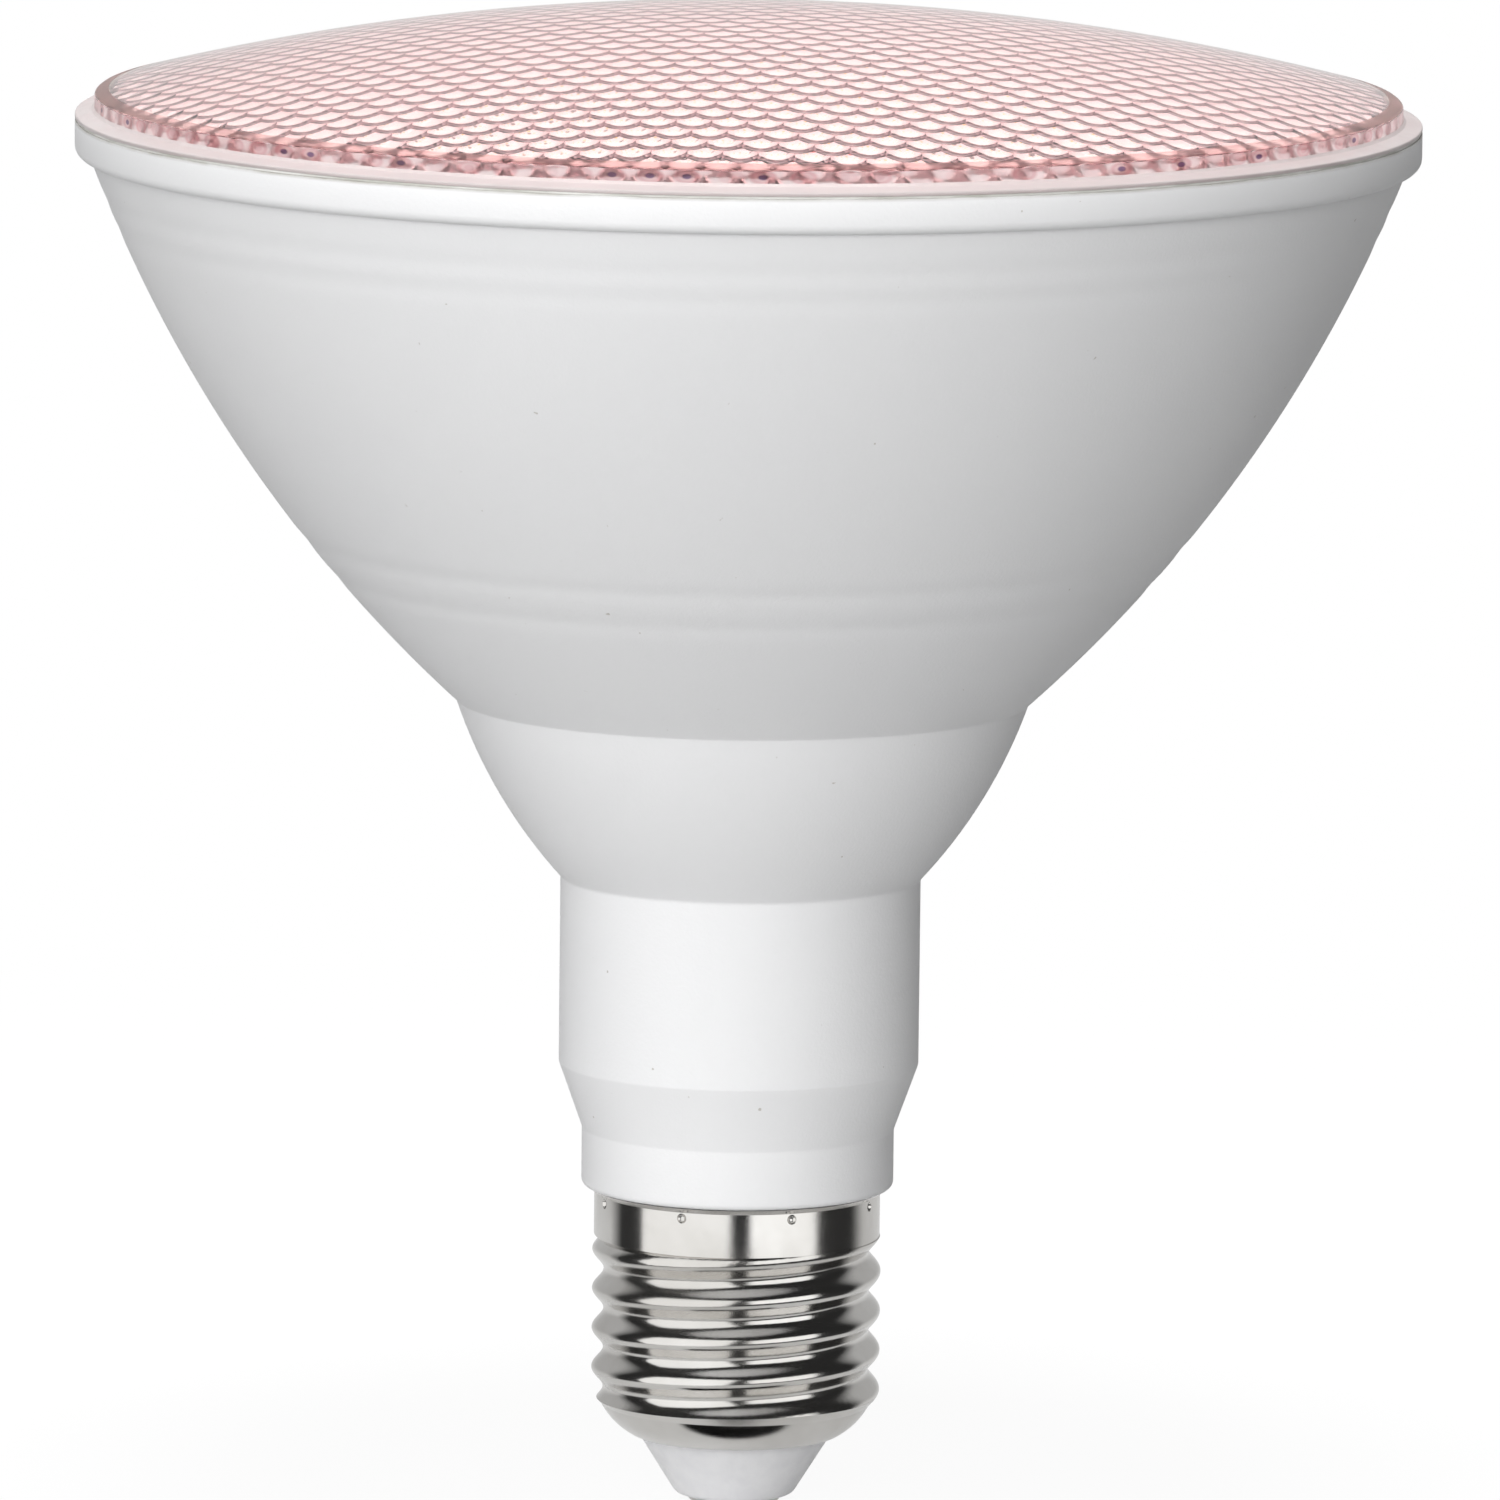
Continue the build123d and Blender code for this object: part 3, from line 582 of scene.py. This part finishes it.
def white_plastic():
    """Matt white moulding with fine grain, a few specks and a painted line of shade, mottled like grime,
    along the seam under the lens's flange.
    """
    light, dark = (0.866, 0.868, 0.874), (0.854, 0.856, 0.864)
    material, tree, shader, colour = uneven(
        "white_moulding", light, dark, (0.52, 0.6), scale=40, depth=0.014 * MM, speck=(0.6, 0.58, 0.55)
    )
    # Painted shade: the top of the collar at the seam between the parts is darkened, with a grime-like mottle
    near_seam = ramp(tree, axis_height(tree), collar_top - 0.3 * MM, collar_top)
    seam_mottle = add_surface(tree, 140)
    seam_shade_share = both(tree, near_seam, ramp(tree, seam_mottle.outputs["Tone"], 0, 1, 0.35, 1.0))
    seam_shaded = mix_colours(tree, seam_shade_share, colour, (0.42, 0.40, 0.36))
    tree.links.new(seam_shaded, shader.inputs["Base Color"])
    shader.inputs["Specular IOR Level"].default_value = 0.25
    return material


def nickel_plate():
    """Bright plated sheet with soft stains and fine rub lines round the cap."""
    material, tree, shader, colour = uneven(
        "nickel_plate", (0.67, 0.66, 0.64), (0.57, 0.555, 0.53), (0.10, 0.18), metallic=1.0, scale=90
    )
    rubbed = add_surface(tree, 160, 2500, 14)
    worn = mix_colours(tree, rubbed.outputs["Specks"], colour, (0.45, 0.42, 0.38))
    tree.links.new(worn, shader.inputs["Base Color"])
    add_bump(tree, shader, rubbed.outputs["Grain"], 0.0015 * MM)
    return material


def place_parts(tree):
    """Sockets with the place on the object along each axis."""
    place = add_node(tree, "TexCoord")
    split = add_node(tree, "SeparateXYZ")
    tree.links.new(place.outputs["Object"], split.inputs["Vector"])
    return split.outputs["X"], split.outputs["Y"], split.outputs["Z"]


def both(tree, first, second):
    """Product of two values: full only where both are."""
    return combine(tree, "MULTIPLY", first, second)


def either(tree, first, second):
    """Larger of two values."""
    return combine(tree, "MAXIMUM", first, second)


def far_from(tree, first, second):
    """Length of a step with two parts."""
    made = add_node(tree, "CombineXYZ")
    tree.links.new(first, made.inputs["X"])
    tree.links.new(second, made.inputs["Y"])
    size = add_node(tree, "VectorMath", operation="LENGTH")
    tree.links.new(made.outputs["Vector"], size.inputs[0])
    return size.outputs["Value"]


def painted_wall_images(tree, across, along, height):
    """Painted refraction images of the lenslets on the lens's wall: ovals, a few of them with a dark middle.
    """
    angle = combine(tree, "ARCTAN2", along, across)
    turn = both(tree, angle, painted_oval_count / (2 * math.pi))
    chance = add_node(tree, "TexWhiteNoise", noise_dimensions="1D")
    tree.links.new(combine(tree, "FLOOR", turn, 0), chance.inputs["W"])
    shift = ramp(tree, chance.outputs["Value"], 0, 1, -0.62, -0.38)
    sideways = combine(tree, "ADD", combine(tree, "FRACT", turn, 0), shift)
    upward = ramp(tree, height, wall_foot, wall_top, -1.0, 1.0)
    away = far_from(tree, both(tree, sideways, 2.4), upward)
    oval = ramp(tree, away, 1.0, 0.75)
    ring = both(tree, ramp(tree, away, 0.6, 0.5), ramp(tree, away, 0.28, 0.4))
    middle = both(tree, ramp(tree, away, 0.4, 0.25), ramp(tree, chance.outputs["Value"], 0.7, 0.72))
    strength = ramp(tree, chance.outputs["Value"], 0, 0.6, 0.3, 1.0)
    # Painted light and shade: pale wall, darker pink ovals, a paler ring in each and a dark middle in a few,
    # all images of the lenslets seen through the wall
    colour = mix_colours(tree, both(tree, oval, strength), (1.0, 0.94, 0.93), (0.70, 0.42, 0.44))
    colour = mix_colours(tree, both(tree, ring, 0.4), colour, (0.95, 0.75, 0.74))
    return mix_colours(tree, middle, colour, (0.06, 0.03, 0.10))


def lens_plastic():
    """Clear pink plastic, deeper where light goes far in it, with painted pink shade towards each lenslet's
    edge, a plain border painted in darker shade and painted images of the lenslets on the wall.
    """
    material, tree, shader = new_material("pink_lens_plastic")
    shader.inputs["IOR"].default_value = lens_index
    shader.inputs["Transmission Weight"].default_value = 1
    across, along, height = place_parts(tree)
    reach = far_from(tree, across, along)
    outside = ramp(tree, reach, lens_wall_radius - 0.06 * MM, lens_wall_radius - 0.02 * MM)
    high = ramp(tree, height, wall_top - 0.2 * MM, wall_top - 0.1 * MM)
    border = both(tree, ramp(tree, reach, border_radius - 0.1 * MM, border_radius), high)
    # Painted shade: each lenslet turns a deeper pink towards its edge, in place of the crescents that
    # refraction gives
    lenslet = add_node(tree, "Attribute", attribute_name="lenslet_edge")
    rim = ramp(tree, lenslet.outputs["Fac"], 0.45, 1.0)
    colour = mix_colours(tree, rim, (1.0, 0.985, 0.98), (0.85, 0.50, 0.54))
    # Painted refraction images of the lenslets cover the wall
    colour = mix_colours(tree, outside, colour, painted_wall_images(tree, across, along, height))
    # Painted shade: the plain border ring by the top of the wall is painted a darker brown-pink
    colour = mix_colours(tree, border, colour, (0.70, 0.49, 0.47))
    tree.links.new(colour, shader.inputs["Base Color"])
    surface = add_surface(tree, 45)
    smooth = ramp(tree, surface.outputs["Tone"], 0, 1, 0.01, 0.05)
    frosted = both(tree, either(tree, outside, border), 0.28)
    tree.links.new(combine(tree, "ADD", smooth, frosted), shader.inputs["Roughness"])
    path = add_node(tree, "LightPath")
    clear = add_node(tree, "BsdfTransparent", {"Color": (0.97, 0.93, 0.925, 1)})
    output = tree.nodes["Material Output"]
    lit = mix_shaders(tree, path.outputs["Is Shadow Ray"], shader.outputs["BSDF"], clear.outputs["BSDF"])
    tree.links.new(lit, output.inputs["Surface"])
    absorb = add_node(tree, "VolumeAbsorption", {"Color": (0.965, 0.66, 0.68, 1), "Density": 75})
    tree.links.new(absorb.outputs["Volume"], output.inputs["Volume"])
    return material


def frosted_flange():
    """Flange of the lens, roughened where it was pressed and glued."""
    material, tree, shader, colour = uneven(
        "frosted_lens_flange",
        (0.745, 0.68, 0.675),
        (0.705, 0.63, 0.625),
        (0.3, 0.45),
        scale=120,
        depth=0.01 * MM,
    )
    shader.inputs["Transmission Weight"].default_value = 0.35
    shader.inputs["IOR"].default_value = lens_index
    return material


def led_phosphor():
    """White package with a yellow well in its top."""
    material, tree, shader, colour = uneven(
        "led_package", (0.88, 0.87, 0.84), (0.82, 0.80, 0.76), (0.35, 0.5), scale=900, depth=0.01 * MM
    )
    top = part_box("led_packages")[1].z
    sunken = ramp(tree, axis_height(tree), top - 0.05 * MM, top - 0.09 * MM)
    facing = add_node(tree, "NewGeometry")
    split = add_node(tree, "SeparateXYZ")
    tree.links.new(facing.outputs["Normal"], split.inputs["Vector"])
    upward = ramp(tree, split.outputs["Z"], 0.8, 0.9)
    well = both(tree, sunken, upward)
    tree.links.new(mix_colours(tree, well, colour, (0.86, 0.68, 0.18)), shader.inputs["Base Color"])
    return material


def wound(name, light, dark, turns):
    """Wire wound in layers: fine ridges, a number of them to a metre of height."""
    material, tree, shader, colour = uneven(name, light, dark, (0.25, 0.4), metallic=1.0, scale=400)
    ridges = add_node(tree, "Math", operation="SINE")
    tree.links.new(both(tree, axis_height(tree), 2 * math.pi * turns), ridges.inputs[0])
    add_bump(tree, shader, ridges.outputs[0], 0.03 * MM)
    return material


def green_laminate():
    """Solder mask over woven glass, with the weave as a faint check."""
    material, tree, shader, colour = uneven(
        "green_laminate", (0.02, 0.22, 0.09), (0.015, 0.15, 0.06), (0.3, 0.45), scale=300
    )
    place = add_node(tree, "TexCoord")
    weave = add_node(tree, "TexChecker", {"Scale": 2500.0})
    tree.links.new(place.outputs["Object"], weave.inputs["Vector"])
    woven = mix_colours(tree, both(tree, weave.outputs["Fac"], 0.12), colour, (0.1, 0.4, 0.2))
    tree.links.new(woven, shader.inputs["Base Color"])
    return material


def dress(material, *nodes):
    """Gives CAD pieces their finish."""
    for node in nodes:
        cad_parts[node].data.materials.clear()
        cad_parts[node].data.materials.append(material)


def dress_cap():
    """Plated shell and contact, and the white cone between them."""
    plate = nickel_plate()
    dress(plate, "screw_shell", "centre_contact")
    cone = uneven(
        "insulator_cone", (0.77, 0.77, 0.78), (0.72, 0.72, 0.735), (0.4, 0.55), scale=500, depth=0.006 * MM
    )
    dress(cone[0], "cap_insulator")


def dress_light_source():
    """Reflector cup, board, packages and screws that show through the lens."""
    cup = uneven(
        "coated_cup", (0.93, 0.92, 0.90), (0.90, 0.88, 0.86), (0.45, 0.6), scale=120, depth=0.004 * MM
    )
    board = uneven("white_solder_mask", (0.88, 0.88, 0.86), (0.83, 0.83, 0.80), (0.35, 0.5), scale=300)
    steel = uneven("screw_steel", (0.62, 0.61, 0.59), (0.45, 0.44, 0.43), (0.2, 0.4), metallic=1.0, scale=900)
    dress(cup[0], "heat_sink_cup")
    dress(board[0], "led_board")
    dress(led_phosphor(), "led_packages")
    dress(steel[0], "board_screws")


def dress_driver():
    """Board in the neck and the parts on it."""
    dress(green_laminate(), "driver_board")
    black = uneven(
        "black_moulding", (0.03, 0.03, 0.03), (0.015, 0.015, 0.016), (0.5, 0.7), scale=900, depth=0.01 * MM
    )
    dress(black[0], "bridge_rectifier", "driver_ic", "output_diode")
    chips = uneven("chip_ceramic", (0.42, 0.33, 0.24), (0.10, 0.09, 0.08), (0.4, 0.6), scale=500)
    dress(chips[0], "chip_components")
    fuse = uneven(
        "resistor_coat", (0.20, 0.42, 0.36), (0.15, 0.34, 0.29), (0.4, 0.6), scale=900, depth=0.02 * MM
    )
    dress(fuse[0], "fuse_resistor")
    blue = uneven("blue_coat", (0.04, 0.13, 0.42), (0.03, 0.09, 0.33), (0.3, 0.5), scale=700, depth=0.03 * MM)
    dress(blue[0], "varistor")
    red = uneven("red_box", (0.50, 0.04, 0.03), (0.40, 0.03, 0.025), (0.35, 0.5), scale=500, depth=0.01 * MM)
    dress(red[0], "film_capacitor")
    ferrite = uneven(
        "ferrite", (0.06, 0.06, 0.065), (0.035, 0.035, 0.04), (0.5, 0.7), scale=1200, depth=0.03 * MM
    )
    dress(ferrite[0], "choke_core", "transformer_core")
    sleeve = uneven("black_sleeve", (0.02, 0.02, 0.025), (0.035, 0.035, 0.04), (0.25, 0.4), scale=400)
    dress(sleeve[0], "bulk_capacitor", "output_capacitor")
    bobbin = uneven("bobbin_nylon", (0.05, 0.05, 0.05), (0.08, 0.08, 0.08), (0.4, 0.6), scale=600)
    dress(bobbin[0], "transformer_bobbin")
    dress(wound("copper_winding", (0.72, 0.33, 0.16), (0.55, 0.22, 0.10), 2800), "choke_winding")
    dress(wound("taped_winding", (0.75, 0.52, 0.12), (0.62, 0.42, 0.10), 2200), "transformer_winding")
    for name, light, dark, nodes in (
        ("red_wire", (0.55, 0.05, 0.04), (0.45, 0.04, 0.03), ("led_wire_positive",)),
        ("black_wire", (0.03, 0.03, 0.03), (0.05, 0.05, 0.05), ("led_wire_negative", "neutral_wire")),
        ("white_wire", (0.82, 0.82, 0.80), (0.74, 0.74, 0.72), ("live_wire",)),
    ):
        dress(uneven(name, light, dark, (0.35, 0.5), scale=900, depth=0.01 * MM)[0], *nodes)


def make_floor():
    """Pale floor that shows white, with the object's shadow near it; low light passes it further out."""
    bm = bmesh.new()
    bmesh.ops.create_grid(bm, x_segments=1, y_segments=1, size=floor_size)
    material, tree, shader = new_material("pale_floor")
    shader.inputs["Roughness"].default_value = 0.9
    shader.inputs["Specular IOR Level"].default_value = 0.1
    path = add_node(tree, "LightPath")
    across, along, height = place_parts(tree)
    reach = far_from(tree, across, along)
    near = ramp(tree, reach, pale_reach, grey_start, 0.85, 0.22)
    mirrored = path.outputs["Is Glossy Ray"]
    viewed = either(tree, path.outputs["Is Camera Ray"], mirrored)
    tone = mix_colours(tree, viewed, near, (0.92, 0.92, 0.92))
    forward = combine(tree, "DIVIDE", combine(tree, "ADD", along, patch_front), patch_half_depth)
    sideways = combine(tree, "DIVIDE", across, patch_half_width)
    dark = ramp(tree, far_from(tree, sideways, forward), 1.1, 0.85)
    unlit = both(tree, mirrored, dark)
    tree.links.new(mix_colours(tree, unlit, tone, (0.005, 0.005, 0.005)), shader.inputs["Base Color"])
    fade = ramp(tree, reach, shadow_start, shadow_reach, 0.93, 1.0)
    seen = either(tree, path.outputs["Is Camera Ray"], path.outputs["Is Transmission Ray"])
    lifted = both(tree, mirrored, ramp(tree, dark, 1, 0, 0.0, 0.35))
    share = either(tree, both(tree, seen, fade), lifted)
    glow = add_node(tree, "Emission")
    shown = mix_shaders(tree, share, shader.outputs["BSDF"], glow.outputs["Emission"])
    beyond = ramp(tree, reach, table_reach, 1.4 * table_reach)
    low = either(tree, mirrored, path.outputs["Is Shadow Ray"])
    past = both(tree, beyond, low)
    clear = add_node(tree, "BsdfTransparent")
    whole = mix_shaders(tree, past, shown, clear.outputs["BSDF"])
    tree.links.new(whole, tree.nodes["Material Output"].inputs["Surface"])
    floor = add_piece("floor", bm, material)


def make_world():
    """White studio for the camera; metal and glass see a pale ground behind and a dark room in front."""
    world = bpy.data.worlds.new("studio")
    bpy.context.scene.world = world
    world.use_nodes = True
    tree = world.node_tree
    ambient = tree.nodes["Background"]
    ambient.inputs["Color"].default_value = (1, 1, 1, 1)
    ambient.inputs["Strength"].default_value = ambient_level
    path = add_node(tree, "LightPath")
    direction = add_node(tree, "TexCoord")
    split = add_node(tree, "SeparateXYZ")
    tree.links.new(direction.outputs["Generated"], split.inputs["Vector"])
    behind = ramp(tree, split.outputs["Y"], 0.3, 0.55, 0.05, 1.0)
    ground = ramp(tree, split.outputs["Z"], -0.2, 0.1, 0.75, 0.55)
    mirrored = both(tree, behind, ground)
    through = both(tree, path.outputs["Is Transmission Ray"], lens_surroundings)
    shown = either(tree, either(tree, mirrored, through), path.outputs["Is Camera Ray"])
    seen = add_node(tree, "Background", {"Strength": 1})
    tree.links.new(shown, seen.inputs["Color"])
    first = either(tree, path.outputs["Is Camera Ray"], path.outputs["Is Glossy Ray"])
    share = either(tree, first, path.outputs["Is Transmission Ray"])
    whole = mix_shaders(tree, share, ambient.outputs["Background"], seen.outputs["Background"])
    tree.links.new(whole, tree.nodes["World Output"].inputs["Surface"])


def soft_box(name, azimuth, elevation, distance, width, height, power, mirrored=False):
    """Lamp that looks at the object, or a panel that only metal mirrors; azimuth 0 is the camera's side."""
    lamp = bpy.data.lights.new(name, "AREA")
    lamp.shape = "RECTANGLE"
    lamp.size = width
    lamp.size_y = height
    lamp.energy = power
    lamp_object = bpy.data.objects.new(name, lamp)
    turn = math.radians(azimuth)
    rise = math.radians(elevation)
    away = Vector((math.sin(turn) * math.cos(rise), -math.cos(turn) * math.cos(rise), math.sin(rise)))
    lamp_object.location = lamp_target + away * distance
    lamp_object.rotation_euler = away.to_track_quat("Z", "Y").to_euler()
    lamp_object.visible_glossy = mirrored
    lamp_object.visible_diffuse = not mirrored
    lamp_object.visible_transmission = mirrored
    bpy.context.scene.collection.objects.link(lamp_object)


def make_camera():
    """Camera that stands where the photograph was taken from, with its slight roll."""
    data = bpy.data.cameras.new("camera")
    data.sensor_width = sensor_width
    data.lens = camera_lens
    data.clip_start = 0.01
    camera = bpy.data.objects.new("camera", data)
    place = Vector((camera_side_step, -camera_distance, camera_height))
    aim = Vector((camera_side_step, 0, camera_target_height))
    forward = (aim - place).normalized()
    right = forward.cross(AXIS).normalized()
    up = right.cross(forward)
    rolled_right = right * math.cos(camera_roll) + up * math.sin(camera_roll)
    rolled_up = up * math.cos(camera_roll) - right * math.sin(camera_roll)
    camera.matrix_world = Matrix.Translation(place) @ Matrix(
        (rolled_right, rolled_up, -forward)
    ).transposed().to_4x4()
    bpy.context.scene.collection.objects.link(camera)
    bpy.context.scene.camera = camera


bpy.context.scene.view_settings.view_transform = "Standard"
make_floor()
make_world()
make_camera()
soft_box("key_left", -43.5, 12, 1.2, 1.98, 2.4, 17.2)
soft_box("fill_right", 45, 32, 1.2, 0.8, 0.8, 1.6)
soft_box("front_fill", -8, 12, 1.6, 0.8, 0.8, 12.4)
soft_box("back_fill", 185, 25, 1.4, 0.8, 0.8, 8.0)
soft_box("top", 0, 86, 0.9, 0.36, 0.36, 9.0)
soft_box("mirrored_left", -43.5, 5, 1.0, 1.65, 2.0, 13.2, mirrored=True)
soft_box("mirrored_right", 39, 5, 1.0, 1.11, 1.0, 4.8, mirrored=True)

surface_group = make_surface_group()
make_lens(lens_plastic(), frosted_flange())
make_housing(white_plastic())
make_glue(uneven("lens_glue", (0.86, 0.86, 0.83), (0.58, 0.58, 0.53), (0.4, 0.6), scale=150)[0])
dress_cap()
dress_light_source()
dress_driver()
